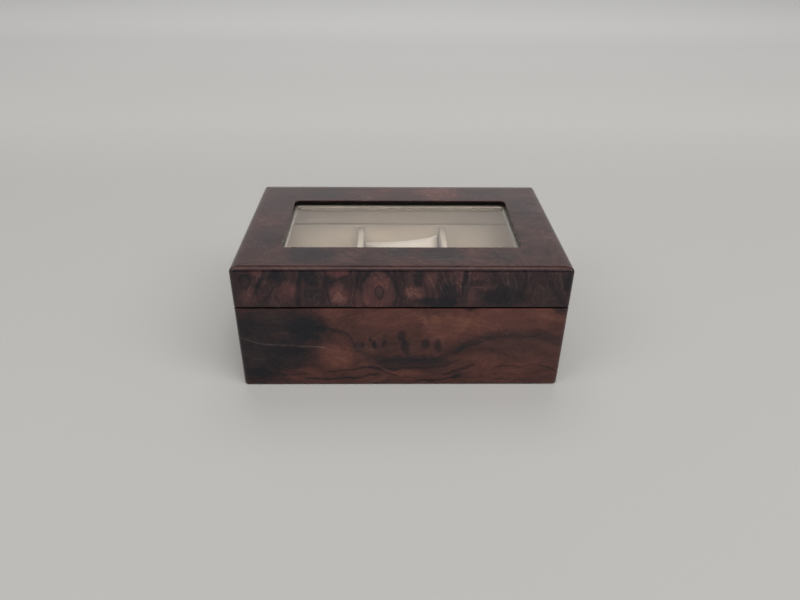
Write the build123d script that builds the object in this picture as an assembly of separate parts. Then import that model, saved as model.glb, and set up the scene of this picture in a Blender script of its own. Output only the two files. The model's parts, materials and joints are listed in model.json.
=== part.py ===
from build123d import *
import os
from math import cos, radians, sin, tan

# A display box for three pocket watches: a glazed lid hinged to a lined base with two
# dividers and three loose pillows. Board cores are mitred at the corners and faced with
# burl veneer; the lid's glass sits in a rebate above a velvet-covered ceiling board.
#
# Millimetres. X runs left to right seen from the front, Y front to back, Z up. The origin
# is the middle of the underside, on the plane the box stands on.

# Driving dimensions: the whole box
BOX_WIDTH = 200.0
BOX_DEPTH = 130.0
BOX_HEIGHT = 84.0
SEAM_HEIGHT = 57.9        # middle of the gap between the base's rim and the lid's rim
SEAM_GAP = 1.1

# Walls and their facing
WALL = 10.0               # board core and veneer together
VENEER = 0.6
CORNER_RADIUS = 3.0       # outer vertical corners and the lid's top edges
RIM_RADIUS = 0.5          # outer edges at the two rims
FOOT_RADIUS = 1.0         # outer edge at the foot
FOOT_GAP = 0.3            # the walls hang this far above the felt's underside

# Underside
REBATE = 4.0              # how far the bottom board reaches under the walls
BOTTOM_TOP = 4.0          # height of the bottom board's upper face
FELT = 1.0

# Lining of velvet-covered card and board
LINING = 1.8              # on the two end walls
DEEP_LINING = 3.8         # on the front and back walls, where the dividers end
LINING_DROP = 0.3         # how far the base's lining stops below its rim
LINING_HANG = 0.4         # how far the lid's lining hangs below its rim, to keep dust out
LINING_EDGE = 0.6         # roundness of a wrapped edge
FLOOR_PAD = 3.0
DIVIDER = 4.0
DIVIDER_SPACING = 60.0    # middle to middle
DIVIDER_SHIFT = 1.5       # the pair sits this far right of the middle
DIVIDER_TOP = 55.1
SLIP = 0.1                # clearance of a loose-fitting lining piece on each side

# Lid, from the top down
TOP_PANEL = 5.6
WINDOW_WIDTH = 147.5
WINDOW_DEPTH = 73.0
WINDOW_RADIUS = 3.5
WINDOW_EDGE = 0.3         # roundness of the window's upper arris
GLASS = 2.0
GLASS_OVERLAP = 4.0       # how far the glass reaches under the panel
GLASS_SLIP = 0.2
CEILING_BOARD = 3.0
CEILING_LEDGE = 1.3       # how far the ceiling board shows inside the window
CEILING_EDGE = 0.8

# Hinges, let into the rims of the two back walls
HINGE_INSET = 3.4         # pin to the back face
HINGE_LENGTH = 30.0
HINGE_SPREAD = 110.0      # middle to middle
HINGE_OPEN_ANGLE = 95.0
STOP_MARGIN = 1.0         # degrees of bevel beyond the open angle
LEAF = 0.9
LEAF_REACH = 5.0          # pin to the leaf's inner edge
BARREL_RADIUS = 1.6
BARREL_ROOM = 0.4         # radial gap between barrel and wood
PIN_RADIUS = 0.75
PIN_CLEARANCE = 0.05
PIN_HEAD_RADIUS = 1.3
PIN_HEAD = 0.6
KNUCKLES = 5
KNUCKLE_GAP = 0.2
SCREW_SPACING = 10.0
SCREW_HEAD_RADIUS = 1.25
SCREW_RADIUS = 0.6
SCREW_LENGTH = 5.5
SCREW_CLEARANCE = 0.05
SCREW_FROM_PIN = 3.3
SCREW_SLOT_WIDTH = 0.35
SCREW_SLOT_DEPTH = 0.35

# Pillows
PILLOW_WIDTH = 53.0
PILLOW_DEPTH = 84.0
PILLOW_HEIGHT = 40.0
PILLOW_RADIUS = 11.0
PILLOW_COVER = 1.0
PILLOW_REST = 0.2         # gap under a pillow
SIDE_PILLOW_Y = -3.0
CENTRE_PILLOW_Y = 7.5
CENTRE_PILLOW_ROLL = -6.0   # degrees: right-hand side up
CENTRE_PILLOW_PITCH = 3.0   # degrees: back up

# Worked out from the above
BASE_TOP = SEAM_HEIGHT - SEAM_GAP / 2
LID_BOTTOM = SEAM_HEIGHT + SEAM_GAP / 2
INSIDE_WIDTH = BOX_WIDTH - 2 * WALL
INSIDE_DEPTH = BOX_DEPTH - 2 * WALL
LINED_WIDTH = INSIDE_WIDTH - 2 * LINING
LINED_DEPTH = INSIDE_DEPTH - 2 * DEEP_LINING
PANEL_BOTTOM = BOX_HEIGHT - TOP_PANEL
CEILING_BOTTOM = PANEL_BOTTOM - CEILING_BOARD
FLOOR_TOP = BOTTOM_TOP + FLOOR_PAD
DIVIDER_X = {
    "left": DIVIDER_SHIFT - DIVIDER_SPACING / 2,
    "right": DIVIDER_SHIFT + DIVIDER_SPACING / 2,
}
PILLOW_X = {
    "left": (DIVIDER_X["left"] - DIVIDER / 2 - LINED_WIDTH / 2) / 2,
    "centre": DIVIDER_SHIFT,
    "right": (DIVIDER_X["right"] + DIVIDER / 2 + LINED_WIDTH / 2) / 2,
}
HINGE_Y = BOX_DEPTH / 2 - HINGE_INSET
BEVEL_ANGLE = (HINGE_OPEN_ANGLE + STOP_MARGIN) / 2
SIDES = ("front", "back", "left", "right")
CLEAR_OF_ALL = 300.0      # longer than the box, for cutting tools


def block(x0, x1, y0, y1, z0, z1):
    """A box between two corners."""
    return Pos((x0 + x1) / 2, (y0 + y1) / 2, (z0 + z1) / 2) * Box(x1 - x0, y1 - y0, z1 - z0)


def slab(width, depth, z0, z1):
    """A box centred on the Z axis."""
    return block(-width / 2, width / 2, -depth / 2, depth / 2, z0, z1)


def rounded_slab(width, depth, z0, z1, radius):
    """A centred slab with rounded vertical corners."""
    return Pos(0, 0, z0) * extrude(RectangleRounded(width, depth, radius), z1 - z0)


def edges_at(shape, z, tolerance=1e-3):
    """The shape's edges that lie in a level plane."""
    return shape.edges().filter_by_position(Axis.Z, z - tolerance, z + tolerance)


def mitre_wedge(side):
    """The part of the plan that belongs to one side of a mitred frame, as a tall prism."""
    x, y = BOX_WIDTH / 2, BOX_DEPTH / 2
    ridge = x - y
    outlines = {
        "front": [(-x, -y), (x, -y), (ridge, 0), (-ridge, 0)],
        "back": [(x, y), (-x, y), (-ridge, 0), (ridge, 0)],
        "left": [(-x, y), (-x, -y), (-ridge, 0)],
        "right": [(x, -y), (x, y), (ridge, 0)],
    }
    outline = Polygon(*outlines[side], align=None)
    return Pos(0, 0, -CLEAR_OF_ALL / 2) * extrude(outline, CLEAR_OF_ALL)


def top_sheet_zone():
    """The upside-down frustum whose sloping sides mitre the top veneer to the side veneers."""
    depth = 2 * CORNER_RADIUS
    wide = Pos(0, 0, BOX_HEIGHT) * Rectangle(BOX_WIDTH, BOX_DEPTH)
    narrow = Pos(0, 0, BOX_HEIGHT - depth) * Rectangle(BOX_WIDTH - 2 * depth, BOX_DEPTH - 2 * depth)
    return loft([narrow, wide])


def back_bevel():
    """The V-groove along the back. Its faces meet on the pin's axis, and stop the open lid."""
    reach = HINGE_INSET + 1.0
    rise = reach * tan(radians(BEVEL_ANGLE))
    profile = Plane.YZ * Polygon((0, 0), (reach, -rise), (reach, rise), align=None)
    return Pos(0, HINGE_Y, SEAM_HEIGHT) * extrude(profile, CLEAR_OF_ALL / 2, both=True)


def along_x(radius, x0, x1):
    """A cylinder on the pin's axis."""
    return Pos((x0 + x1) / 2, HINGE_Y, SEAM_HEIGHT) * Rot(0, 90, 0) * Cylinder(radius, x1 - x0)


def hinge_centres():
    return {"left": -HINGE_SPREAD / 2, "right": HINGE_SPREAD / 2}


def screw_places():
    """Screw positions along X, for both hinges."""
    return [x + k * SCREW_SPACING for x in hinge_centres().values() for k in (-1, 0, 1)]


def hinge_recess(upper):
    """What one back wall loses to the hinges: leaf mortises, barrel room and pilot holes."""
    outward = 1 if upper else -1
    rim = LID_BOTTOM if upper else BASE_TOP
    half = HINGE_LENGTH / 2 + PIN_HEAD + KNUCKLE_GAP
    cuts = []
    for x in hinge_centres().values():
        z = sorted((rim - outward, rim + outward * LEAF))
        cuts.append(block(x - HINGE_LENGTH / 2, x + HINGE_LENGTH / 2, HINGE_Y - LEAF_REACH, HINGE_Y, *z))
        cuts.append(along_x(BARREL_RADIUS + BARREL_ROOM, x - half, x + half))
    depth = SCREW_LENGTH + 0.5
    for x in screw_places():
        hole = Cylinder(SCREW_RADIUS + SCREW_CLEARANCE, depth)
        cuts.append(Pos(x, HINGE_Y - SCREW_FROM_PIN, rim + outward * depth / 2) * hole)
    return Compound(children=cuts)


def subtract(shape, tools):
    """Cuts each solid of the tools from the shape."""
    for tool in tools.solids():
        shape = shape - tool
    return shape


def base_carcass():
    """The base's outer form, with everything cut that the walls and veneers lose."""
    body = slab(BOX_WIDTH, BOX_DEPTH, FOOT_GAP, BASE_TOP)
    body = fillet(body.edges().filter_by(Axis.Z), CORNER_RADIUS)
    body = fillet(edges_at(body, BASE_TOP), RIM_RADIUS)
    body = fillet(edges_at(body, FOOT_GAP), FOOT_RADIUS)
    body = body - slab(INSIDE_WIDTH, INSIDE_DEPTH, -1, BOX_HEIGHT)
    body = body - slab(INSIDE_WIDTH + 2 * REBATE, INSIDE_DEPTH + 2 * REBATE, -1, BOTTOM_TOP)
    body = body - back_bevel()
    return subtract(body, hinge_recess(upper=False))


def lid_carcass():
    """The lid's outer form, with the window, the glass rebate and the hinge recesses cut."""
    body = slab(BOX_WIDTH, BOX_DEPTH, LID_BOTTOM, BOX_HEIGHT)
    upright = body.edges().filter_by(Axis.Z)
    body = fillet(upright + edges_at(body, BOX_HEIGHT), CORNER_RADIUS)
    body = fillet(edges_at(body, LID_BOTTOM), RIM_RADIUS)
    body = body - slab(INSIDE_WIDTH, INSIDE_DEPTH, 0, PANEL_BOTTOM)
    body = body - rounded_slab(WINDOW_WIDTH, WINDOW_DEPTH, 0, BOX_HEIGHT + 1, WINDOW_RADIUS)
    window = [
        e for e in edges_at(body, BOX_HEIGHT)
        if abs(e.center().X) <= WINDOW_WIDTH / 2 and abs(e.center().Y) <= WINDOW_DEPTH / 2
    ]
    body = fillet(window, WINDOW_EDGE)
    rebate = (WINDOW_WIDTH + 2 * GLASS_OVERLAP, WINDOW_DEPTH + 2 * GLASS_OVERLAP)
    body = body - slab(*rebate, 0, PANEL_BOTTOM + GLASS)
    body = body - back_bevel()
    return subtract(body, hinge_recess(upper=True))


def inside_the_veneer():
    """The space that board cores may fill. Its edges are rounded about the same lines."""
    space = slab(BOX_WIDTH - 2 * VENEER, BOX_DEPTH - 2 * VENEER, -1, BOX_HEIGHT - VENEER)
    rounded = space.edges().filter_by(Axis.Z) + edges_at(space, BOX_HEIGHT - VENEER)
    return fillet(rounded, CORNER_RADIUS - VENEER)


def base_walls():
    carcass = base_carcass()
    core = carcass & inside_the_veneer()
    skin = carcass - inside_the_veneer()
    parts = {}
    for side in SIDES:
        parts[f"base_{side}_wall"] = core & mitre_wedge(side)
        parts[f"base_{side}_veneer"] = skin & mitre_wedge(side)
    return parts


def lid_walls():
    carcass = lid_carcass()
    core = carcass & inside_the_veneer()
    skin = carcass - inside_the_veneer()
    above = slab(BOX_WIDTH, BOX_DEPTH, PANEL_BOTTOM, BOX_HEIGHT)
    rails = core - above
    side_skin = skin - top_sheet_zone()
    parts = {
        "lid_top_panel": core & above,
        "lid_top_veneer": skin & top_sheet_zone(),
    }
    for side in SIDES:
        parts[f"lid_{side}_rail"] = rails & mitre_wedge(side)
        parts[f"lid_{side}_veneer"] = side_skin & mitre_wedge(side)
    return parts


def bottom():
    width = INSIDE_WIDTH + 2 * REBATE
    depth = INSIDE_DEPTH + 2 * REBATE
    return {
        "bottom_board": slab(width, depth, FELT, BOTTOM_TOP),
        "underside_felt": slab(width, depth, 0, FELT),
    }


def lining_strip(side, z0, z1, open_edge):
    """One wall's lining. Its open edge, at the rim, is rounded where the velvet wraps it."""
    x, y = INSIDE_WIDTH / 2, INSIDE_DEPTH / 2
    spans = {
        "front": (-x, x, -y, DEEP_LINING - y),
        "back": (-x, x, y - DEEP_LINING, y),
        "left": (-x, LINING - x, DEEP_LINING - y, y - DEEP_LINING),
        "right": (x - LINING, x, DEEP_LINING - y, y - DEEP_LINING),
    }
    strip = block(*spans[side], z0, z1)
    along = Axis.X if side in ("front", "back") else Axis.Y
    return fillet(edges_at(strip, open_edge).filter_by(along), LINING_EDGE)


def base_lining():
    top = BASE_TOP - LINING_DROP
    parts = {f"base_{side}_lining": lining_strip(side, BOTTOM_TOP, top, top) for side in SIDES}
    pad = slab(LINED_WIDTH - 2 * SLIP, LINED_DEPTH - 2 * SLIP, BOTTOM_TOP, FLOOR_TOP)
    parts["floor_pad"] = fillet(edges_at(pad, FLOOR_TOP), LINING_EDGE)
    for name, x in DIVIDER_X.items():
        y = LINED_DEPTH / 2 - SLIP
        plate = block(x - DIVIDER / 2, x + DIVIDER / 2, -y, y, FLOOR_TOP, DIVIDER_TOP)
        rounded = edges_at(plate, DIVIDER_TOP).filter_by(Axis.Y)
        parts[f"{name}_divider"] = fillet(rounded, LINING_EDGE)
    return parts


def lid_lining():
    low = LID_BOTTOM - LINING_HANG
    parts = {f"lid_{side}_lining": lining_strip(side, low, CEILING_BOTTOM, low) for side in SIDES}
    width = WINDOW_WIDTH - 2 * CEILING_LEDGE
    depth = WINDOW_DEPTH - 2 * CEILING_LEDGE
    board = slab(INSIDE_WIDTH - 2 * SLIP, INSIDE_DEPTH - 2 * SLIP, CEILING_BOTTOM, PANEL_BOTTOM)
    board = board - rounded_slab(width, depth, 0, BOX_HEIGHT, WINDOW_RADIUS - CEILING_LEDGE)
    opening = [
        e for z in (CEILING_BOTTOM, PANEL_BOTTOM) for e in edges_at(board, z)
        if abs(e.center().X) <= width / 2 and abs(e.center().Y) <= depth / 2
    ]
    parts["ceiling_board"] = fillet(opening, CEILING_EDGE)
    return parts


def window_glass():
    width = WINDOW_WIDTH + 2 * (GLASS_OVERLAP - GLASS_SLIP)
    depth = WINDOW_DEPTH + 2 * (GLASS_OVERLAP - GLASS_SLIP)
    return {"window_glass": slab(width, depth, PANEL_BOTTOM, PANEL_BOTTOM + GLASS)}


def hinge_leaf(x, upper):
    """A leaf with its knuckles. The base's leaf has the odd ones, the lid's the even ones."""
    outward = 1 if upper else -1
    rim = LID_BOTTOM if upper else BASE_TOP
    low, high = sorted((rim, rim + outward * LEAF))
    start = x - HINGE_LENGTH / 2
    knuckle = HINGE_LENGTH / KNUCKLES
    edge = HINGE_Y - BARREL_RADIUS - KNUCKLE_GAP
    leaf = block(start, start + HINGE_LENGTH, HINGE_Y - LEAF_REACH, edge, low, high)
    for k in range(1 if upper else 0, KNUCKLES, 2):
        x0 = start + k * knuckle + (KNUCKLE_GAP / 2 if k else 0)
        x1 = start + (k + 1) * knuckle - (KNUCKLE_GAP / 2 if k < KNUCKLES - 1 else 0)
        leaf = leaf + block(x0, x1, edge - 0.5, HINGE_Y, low, high) + along_x(BARREL_RADIUS, x0, x1)
    leaf = leaf - along_x(PIN_RADIUS + PIN_CLEARANCE, start - 1, start + HINGE_LENGTH + 1)
    for k in (-1, 0, 1):
        leaf = leaf - screw_at(x + k * SCREW_SPACING, upper, SCREW_CLEARANCE)
    return leaf


def screw_at(x, upper, grown=0.0):
    """A countersunk wood screw, head flush with the leaf. Grown, it is the hole for one."""
    outward = 1 if upper else -1
    rim = LID_BOTTOM if upper else BASE_TOP
    head = SCREW_HEAD_RADIUS - SCREW_RADIUS
    neck, top = SCREW_RADIUS + grown, SCREW_HEAD_RADIUS + grown
    length = SCREW_LENGTH + grown
    tip = 1.5 * SCREW_RADIUS
    profile = Polygon(
        (0, 0), (top, 0), (neck, -head), (neck, tip - length), (0, -length), align=None
    )
    screw = revolve(Plane.XZ * profile, Axis.Z)
    if not grown:
        slot = Box(4 * SCREW_HEAD_RADIUS, SCREW_SLOT_WIDTH, 2 * SCREW_SLOT_DEPTH)
        screw = screw - Rot(0, 0, 7 * x) * slot
    turn = Rot(180, 0, 0) if upper else Rot(0, 0, 0)
    return Pos(x, HINGE_Y - SCREW_FROM_PIN, rim) * turn * screw


def hinge_pin(x):
    """A pin with a peened head at each end."""
    start, end = x - HINGE_LENGTH / 2, x + HINGE_LENGTH / 2
    pin = along_x(PIN_RADIUS, start - PIN_HEAD, end + PIN_HEAD)
    for x0, x1 in ((start - PIN_HEAD, start), (end, end + PIN_HEAD)):
        pin = pin + along_x(PIN_HEAD_RADIUS, x0, x1)
    return pin


def hinges():
    parts = {}
    for name, x in hinge_centres().items():
        parts[f"{name}_hinge_base_leaf"] = hinge_leaf(x, upper=False)
        parts[f"{name}_hinge_lid_leaf"] = hinge_leaf(x, upper=True)
        parts[f"{name}_hinge_pin"] = hinge_pin(x)
    for name, upper in (("base", False), ("lid", True)):
        screws = [screw_at(x, upper).solids()[0] for x in screw_places()]
        parts[f"{name}_hinge_screws"] = Compound(children=screws)
    return parts


def pillow_block(inset):
    """A plump rounded block, or its filling when it is inset by the cover's thickness."""
    size = [s - 2 * inset for s in (PILLOW_WIDTH, PILLOW_DEPTH, PILLOW_HEIGHT)]
    return fillet(Box(*size).edges(), PILLOW_RADIUS - inset)


def pillow(place):
    """The velvet cover and the filling of one pillow."""
    outer = place * pillow_block(0)
    filling = place * pillow_block(PILLOW_COVER)
    return outer - filling, filling


def pillows():
    level = FLOOR_TOP + PILLOW_REST + PILLOW_HEIGHT / 2
    roll, pitch = radians(CENTRE_PILLOW_ROLL), radians(CENTRE_PILLOW_PITCH)
    across = (PILLOW_WIDTH / 2 - PILLOW_RADIUS) * abs(sin(roll))
    along = (PILLOW_DEPTH / 2 - PILLOW_RADIUS) * abs(sin(pitch))
    upright = (PILLOW_HEIGHT / 2 - PILLOW_RADIUS) * (1 - cos(roll) * cos(pitch))
    places = {
        "left": Pos(PILLOW_X["left"], SIDE_PILLOW_Y, level),
        "centre": Pos(PILLOW_X["centre"], CENTRE_PILLOW_Y, level + across + along - upright)
        * Rot(CENTRE_PILLOW_PITCH, CENTRE_PILLOW_ROLL, 0),
        "right": Pos(PILLOW_X["right"], SIDE_PILLOW_Y, level),
    }
    parts = {}
    for name, place in places.items():
        parts[f"{name}_pillow_cover"], parts[f"{name}_pillow_filling"] = pillow(place)
    return parts


def main():
    os.makedirs("parts", exist_ok=True)
    parts = {}
    for group in (base_walls, bottom, base_lining, lid_walls, window_glass, lid_lining, hinges, pillows):
        parts.update(group())
    for name, shape in parts.items():
        solids = shape.solids()
        whole = solids[0] if len(solids) == 1 else Compound(children=list(solids))
        export_step(whole, f"parts/{name}.step")


main()
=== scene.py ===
import json
from math import cos, exp, pi, radians, sin

import bmesh
import bpy
from mathutils import Matrix, Vector, noise


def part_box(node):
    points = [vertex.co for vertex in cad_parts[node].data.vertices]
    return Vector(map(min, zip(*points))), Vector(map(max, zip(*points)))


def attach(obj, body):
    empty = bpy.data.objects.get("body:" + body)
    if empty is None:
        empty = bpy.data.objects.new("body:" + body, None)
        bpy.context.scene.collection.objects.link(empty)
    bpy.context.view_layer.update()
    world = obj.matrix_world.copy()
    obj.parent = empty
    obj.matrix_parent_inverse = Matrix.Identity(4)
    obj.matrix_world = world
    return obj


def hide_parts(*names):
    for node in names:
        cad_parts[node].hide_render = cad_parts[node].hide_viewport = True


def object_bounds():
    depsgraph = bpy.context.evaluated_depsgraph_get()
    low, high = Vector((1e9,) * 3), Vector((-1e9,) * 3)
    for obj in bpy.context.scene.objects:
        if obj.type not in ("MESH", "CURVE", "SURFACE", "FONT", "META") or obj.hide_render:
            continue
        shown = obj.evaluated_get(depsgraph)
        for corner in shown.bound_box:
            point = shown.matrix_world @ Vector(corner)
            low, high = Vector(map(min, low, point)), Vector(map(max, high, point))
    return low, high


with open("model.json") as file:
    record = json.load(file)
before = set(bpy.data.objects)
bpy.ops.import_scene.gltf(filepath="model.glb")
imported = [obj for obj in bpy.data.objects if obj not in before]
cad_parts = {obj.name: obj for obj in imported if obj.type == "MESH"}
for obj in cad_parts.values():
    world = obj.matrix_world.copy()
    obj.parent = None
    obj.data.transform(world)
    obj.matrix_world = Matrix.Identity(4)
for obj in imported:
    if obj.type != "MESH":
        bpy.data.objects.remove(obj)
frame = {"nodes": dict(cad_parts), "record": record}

# A display box for three pocket watches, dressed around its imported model. Outside it has dark
# burl veneer under lacquer, inside beige velvet and three stuffed pillows. The scene is in
# metres; textures and pillows are laid out in millimetres.

NODES = frame["nodes"]
CAD_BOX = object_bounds()
MM = 0.001
HALF_WIDTH, HALF_DEPTH, HEIGHT = (high / MM for high in CAD_BOX[1])


# ---------------- node helpers

MIX_FACTOR, MIX_A, MIX_B, MIX_RESULT = 0, 6, 7, 2  # a Mix node's sockets for colours
MIDDLE = 0.5  # of what a noise gives


def fill(tree, made, inputs):
    """Sets a node's inputs. Each is a value or another node's output socket."""
    for key, value in inputs.items():
        if isinstance(value, bpy.types.NodeSocket):
            tree.links.new(value, made.inputs[key])
        else:
            made.inputs[key].default_value = value


def node(tree, kind, inputs=None, **settings):
    made = tree.nodes.new(kind)
    for name, value in settings.items():
        setattr(made, name, value)
    fill(tree, made, inputs or {})
    return made


def maths(tree, operation, a, b=0.0, clamp=False):
    made = node(tree, "ShaderNodeMath", {0: a, 1: b}, operation=operation, use_clamp=clamp)
    return made.outputs[0]


def plus(tree, a, b):
    return maths(tree, "ADD", a, b)


def minus(tree, a, b):
    return maths(tree, "SUBTRACT", a, b)


def times(tree, a, b):
    return maths(tree, "MULTIPLY", a, b)


def vector_maths(tree, operation, a, b=(0, 0, 0)):
    return node(tree, "ShaderNodeVectorMath", {0: a, 1: b}, operation=operation).outputs[0]


def scaled(tree, vector, factor):
    made = node(tree, "ShaderNodeVectorMath", {0: vector, "Scale": factor}, operation="SCALE")
    return made.outputs[0]


def split(tree, vector):
    return node(tree, "ShaderNodeSeparateXYZ", {0: vector}).outputs


def mix_colour(tree, factor, a, b):
    inputs = {MIX_FACTOR: factor, MIX_A: a, MIX_B: b}
    return node(tree, "ShaderNodeMix", inputs, data_type="RGBA").outputs[MIX_RESULT]


def smooth_range(tree, value, low, high, to_low=0.0, to_high=1.0):
    inputs = {"Value": value, "From Min": low, "From Max": high, "To Min": to_low, "To Max": to_high}
    return node(tree, "ShaderNodeMapRange", inputs, interpolation_type="SMOOTHSTEP").outputs[0]


def noise_value(tree, position, scale, detail=3.0, roughness=0.5, distortion=0.0):
    inputs = {
        "Vector": position,
        "Scale": scale,
        "Detail": detail,
        "Roughness": roughness,
        "Distortion": distortion,
    }
    return node(tree, "ShaderNodeTexNoise", inputs).outputs["Fac"]


def centred(tree, value, amount=1.0):
    """A noise from 0 to 1 as one about 0, made larger or smaller."""
    return times(tree, minus(tree, value, MIDDLE), amount)


def noise_vector(tree, position, scale, detail):
    """A noise from about -0.5 to 0.5 in each direction."""
    made = node(tree, "ShaderNodeTexNoise", {"Vector": position, "Scale": scale, "Detail": detail})
    return vector_maths(tree, "SUBTRACT", made.outputs["Color"], (MIDDLE, MIDDLE, MIDDLE))


def colour_ramp(tree, value, stops):
    made = node(tree, "ShaderNodeValToRGB", {"Fac": value})
    elements = made.color_ramp.elements
    while len(elements) < len(stops):
        elements.new(MIDDLE)
    for element, (place, colour) in zip(elements, stops):
        element.position = place
        element.color = (*colour, 1)
    return made.outputs["Color"]


def new_object(name, data):
    made = bpy.data.objects.new(name, data)
    bpy.context.scene.collection.objects.link(made)
    return made


def new_group(name, inputs, outputs):
    """An empty shader node group. Sockets are (name, kind) or (name, kind, default)."""
    group = bpy.data.node_groups.new(name, "ShaderNodeTree")
    for in_out, sockets in (("INPUT", inputs), ("OUTPUT", outputs)):
        for label, kind, *default in sockets:
            socket = group.interface.new_socket(label, in_out=in_out, socket_type=f"NodeSocket{kind}")
            if default:
                socket.default_value = default[0]
    given = group.nodes.new("NodeGroupInput").outputs
    out = group.nodes.new("NodeGroupOutput").inputs
    return group, given, out


def place_group(tree, group, inputs):
    """Places a group in a material and returns its outputs."""
    return node(tree, "ShaderNodeGroup", inputs, node_tree=group).outputs


# ---------------- shared effects

THROUGH = 1000.0  # an oval's reach into the panel, where it has no end
BURL_FIELD = [("Tone", "Float"), ("Red", "Float")]
DRAWN = BURL_FIELD + [("Amount", "Float", -0.3), ("Red Amount", "Float", 0.0)]
OVAL = DRAWN + [("Position", "Vector"), ("Centre", "Vector"), ("Reach", "Vector", (10, 10, THROUGH))]
PATCH_EDGE = (1.25, 0.45)  # from where an effect starts to where it is full
RING_EDGE = (1.0, 0.1)
STROKE_EDGE = (1.0, 0.15)
CURL_EDGE = (0.035, 0.004)
CURLED_PARTS = (0.44, 0.6)
PORE_EDGE = (0.6, 0.74)
SPECK_EDGE = (0.045, 0.02)
DUSTY_PARTS = (0.52, 0.7)
LINES_PER_SWELL = 9.0
LINE_SHARE = 0.4
SMEARS = 0.15
RUBBING = 0.06
NAP_DEPTH = 0.6  # of the brushed clouds, beside the tufts
EASED_FROM = 5.1  # millimetres in from the lid's upper corner
EASED_TO = 2.8
EASED_DROP = 0.17


def add_to_field(group, given, out, strength):
    """Adds the group's amounts, times a strength from 0 to 1, to the tone and the redness."""
    for name, amount in (("Tone", "Amount"), ("Red", "Red Amount")):
        added = times(group, strength, given[amount])
        group.links.new(plus(group, given[name], added), out[name])


def oval_distance(group, given):
    """1 on the oval with the group's centre and reach, 0 in its middle."""
    away = vector_maths(group, "SUBTRACT", given["Position"], given["Centre"])
    away = vector_maths(group, "DIVIDE", away, given["Reach"])
    return node(group, "ShaderNodeVectorMath", {0: away}, operation="LENGTH").outputs["Value"]


def make_drift():
    """Bends a position about, so that what is drawn on it wanders like grain round a burl."""
    group, given, out = new_group(
        "Grain Drift",
        [("Position", "Vector"), ("Wide", "Float", 5.0), ("Fine", "Float", 3.4), ("Seed", "Vector")],
        [("Position", "Vector")],
    )
    place = vector_maths(group, "ADD", given["Position"], given["Seed"])
    wide = scaled(group, noise_vector(group, place, scale=0.035, detail=1.0), given["Wide"])
    fine = scaled(group, noise_vector(group, place, scale=0.16, detail=3.0), given["Fine"])
    both = vector_maths(group, "ADD", wide, fine)
    group.links.new(vector_maths(group, "ADD", given["Position"], both), out["Position"])
    return group


def make_patch():
    """A soft-edged, ragged oval in the burl."""
    group, given, out = new_group("Burl Patch", OVAL + [("Ragged", "Float", 0.8)], BURL_FIELD)
    wander = noise_value(group, given["Position"], 0.14, roughness=0.6, distortion=1.0)
    wander = centred(group, wander, given["Ragged"])
    distance = plus(group, oval_distance(group, given), wander)
    add_to_field(group, given, out, smooth_range(group, distance, *PATCH_EDGE))
    return group


def make_ring():
    """A dark or pale outline round an oval in the burl."""
    group, given, out = new_group("Burl Ring", OVAL + [("Width", "Float", 0.25)], BURL_FIELD)
    off_line = minus(group, oval_distance(group, given), 1.0)
    off_line = maths(group, "DIVIDE", maths(group, "ABSOLUTE", off_line), given["Width"])
    add_to_field(group, given, out, smooth_range(group, off_line, *RING_EDGE))
    return group


def make_stroke():
    """A line in the burl. Curve, from 0 to 1, says where between Bottom and Top it runs."""
    own = ("Along", "Across", "Curve", "Bottom", "Top", "Start", "End", "Fade", "Width")
    group, given, out = new_group("Burl Stroke", DRAWN + [(name, "Float") for name in own], BURL_FIELD)
    span = minus(group, given["Top"], given["Bottom"])
    line = plus(group, times(group, given["Curve"], span), given["Bottom"])
    side = maths(group, "ABSOLUTE", minus(group, given["Across"], line))
    strength = smooth_range(group, maths(group, "DIVIDE", side, given["Width"]), *STROKE_EDGE)
    from_start = minus(group, given["Along"], given["Start"])
    from_end = minus(group, given["End"], given["Along"])
    within = maths(group, "DIVIDE", maths(group, "MINIMUM", from_start, from_end), given["Fade"])
    within = smooth_range(group, within, 0.0, 1.0)
    add_to_field(group, given, out, times(group, strength, within))
    return group


def make_figure():
    """What runs all through the burl: clouds, grain lines that follow them, curls and pores."""
    group, given, out = new_group(
        "Burl Figure",
        [("Position", "Vector"), ("Flow", "Vector", (1, 1, 1)), ("Seed", "Vector")],
        [(name, "Float") for name in ("Cloud", "Redness", "Line", "Curl", "Pore")],
    )
    place = vector_maths(group, "ADD", given["Position"], given["Seed"])
    flow = vector_maths(group, "MULTIPLY", place, given["Flow"])
    cloud = noise_value(group, flow, 0.075, detail=4.0, roughness=0.6, distortion=0.8)
    group.links.new(centred(group, cloud), out["Cloud"])
    elsewhere = vector_maths(group, "ADD", flow, (37, 11, 5))
    redness = noise_value(group, elsewhere, 0.06, roughness=0.55, distortion=0.6)
    group.links.new(centred(group, redness), out["Redness"])
    swell = noise_value(group, flow, 0.05, detail=1.5, roughness=0.4, distortion=1.2)
    line = maths(group, "SINE", times(group, swell, LINES_PER_SWELL * 2 * pi))
    stretched = vector_maths(group, "MULTIPLY", flow, (0.35, 1.6, 1.0))
    grain = centred(group, noise_value(group, stretched, 0.8, roughness=0.65))
    line = plus(group, times(group, line, LINE_SHARE), grain)
    group.links.new(line, out["Line"])
    swirl = noise_value(group, flow, 0.15, detail=2.5, roughness=0.55, distortion=2.4)
    curl = smooth_range(group, maths(group, "ABSOLUTE", centred(group, swirl)), *CURL_EDGE)
    where = smooth_range(group, noise_value(group, place, 0.06, detail=1.0), *CURLED_PARTS)
    group.links.new(times(group, curl, where), out["Curl"])
    pore = noise_value(group, flow, 1.3, detail=2.0, roughness=0.6)
    group.links.new(smooth_range(group, pore, *PORE_EDGE), out["Pore"])
    return group


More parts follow.
